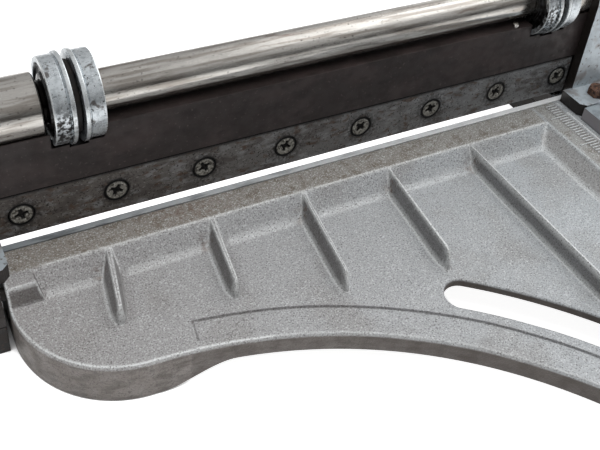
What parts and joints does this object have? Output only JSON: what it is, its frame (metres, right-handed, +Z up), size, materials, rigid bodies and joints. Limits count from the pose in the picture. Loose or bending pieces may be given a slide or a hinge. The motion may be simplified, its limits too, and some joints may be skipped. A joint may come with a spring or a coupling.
{
  "type": "vinyl tile cutter",
  "caption": "Bench guillotine for vinyl floor tiles: ribbed cast table with arc slot and fence, sliding blade beam driven down by an eccentric hand-lever shaft.",
  "frame": {"origin": "on the flat top of the table bar, half way between the two end frames and half way across the bar", "axes": "+X along the blade towards the handle, +Y from the operator towards the blade's back, +Z up, square to the table"},
  "size_m": [0.4375, 0.5176, 0.3864],
  "materials": {
    "cast": "as sand cast, worn edges",
    "frame_metal": "machined",
    "iron": "browned, oiled",
    "blade_steel": "mottled, aged",
    "screw_steel": "dull",
    "bright_steel": "turned, rust specks",
    "zinc": "zinc plated",
    "dark_steel": "blackened",
    "bronze": "bearing bronze",
    "rubber": "moulded"
  },
  "bodies": {
    "cutter_frame": {"table_casting": "cast", "lower_blade": "blade_steel", "lower_blade_screw_1": "screw_steel", "lower_blade_screw_2": "screw_steel", "lower_blade_screw_3": "screw_steel", "lower_blade_screw_4": "screw_steel", "lower_blade_screw_5": "screw_steel", "left_end_frame": "frame_metal", "right_end_frame": "frame_metal", "fence_bar": "frame_metal", "left_base_bar": "dark_steel", "right_base_bar": "dark_steel", "left_frame_bolt_1": "bright_steel", "left_frame_bolt_2": "bright_steel", "right_frame_bolt_1": "bright_steel", "right_frame_bolt_2": "bright_steel", "left_adjusting_screw_1": "bright_steel", "left_adjusting_screw_2": "bright_steel", "right_adjusting_screw_1": "bright_steel", "right_adjusting_screw_2": "bright_steel", "left_base_screw": "bright_steel", "right_base_screw": "bright_steel", "left_return_spring": "bright_steel", "right_return_spring": "bright_steel", "fence_screw_1": "bright_steel", "fence_screw_2": "bright_steel", "fence_screw_3": "bright_steel", "left_shaft_bush": "bronze", "right_shaft_bush": "bronze", "left_gib": "bronze", "right_gib": "bronze"},
    "crank": {"eccentric_rod": "bright_steel", "left_journal": "bright_steel", "right_journal": "bright_steel", "left_grub_screw": "dark_steel", "right_grub_screw": "dark_steel", "left_collar": "bright_steel", "left_roller_spacer": "dark_steel", "right_roller_spacer": "dark_steel", "handle_hub": "iron", "hub_set_screw": "dark_steel", "lever": "bright_steel", "grip": "rubber"},
    "cutting_beam": {"beam": "iron", "upper_blade": "blade_steel", "blade_screw_1": "screw_steel", "blade_screw_2": "screw_steel", "blade_screw_3": "screw_steel", "blade_screw_4": "screw_steel", "blade_screw_5": "screw_steel", "blade_screw_6": "screw_steel", "blade_screw_7": "screw_steel", "blade_screw_8": "screw_steel", "beam_stud": "bright_steel"},
    "left_outer_roller_body": {"left_outer_roller": "zinc"},
    "left_inner_roller_body": {"left_inner_roller": "zinc"},
    "right_inner_roller_body": {"right_inner_roller": "zinc"},
    "right_outer_roller_body": {"right_outer_roller": "zinc"}
  },
  "joints": [
    {"name": "handle_turn", "type": "hinge", "parent": "cutter_frame", "child": "crank", "pos_m": [0, 0.0264, 0.06287], "axis": [1, 0, 0], "range_deg": [0, 90]},
    {"name": "beam_slide", "type": "slide", "parent": "cutter_frame", "child": "cutting_beam", "axis": [0, 0, 1], "range_m": [-0.0068, 0], "stiffness_N_per_m": 4000, "springref_m": 0.006, "deforming": ["left_return_spring", "right_return_spring"]},
    {"name": "left_outer_roller_spin", "type": "hinge", "parent": "crank", "child": "left_outer_roller_body", "pos_m": [0, 0.02315, 0.06613], "axis": [1, 0, 0], "continuous": true},
    {"name": "left_inner_roller_spin", "type": "hinge", "parent": "crank", "child": "left_inner_roller_body", "pos_m": [0, 0.02315, 0.06613], "axis": [1, 0, 0], "continuous": true},
    {"name": "right_inner_roller_spin", "type": "hinge", "parent": "crank", "child": "right_inner_roller_body", "pos_m": [0, 0.02315, 0.06613], "axis": [1, 0, 0], "continuous": true},
    {"name": "right_outer_roller_spin", "type": "hinge", "parent": "crank", "child": "right_outer_roller_body", "pos_m": [0, 0.02315, 0.06613], "axis": [1, 0, 0], "continuous": true}
  ],
  "couplings": [
    {"joint": "beam_slide", "follows": "handle_turn", "m_per_rad": -0.0041415}
  ]
}
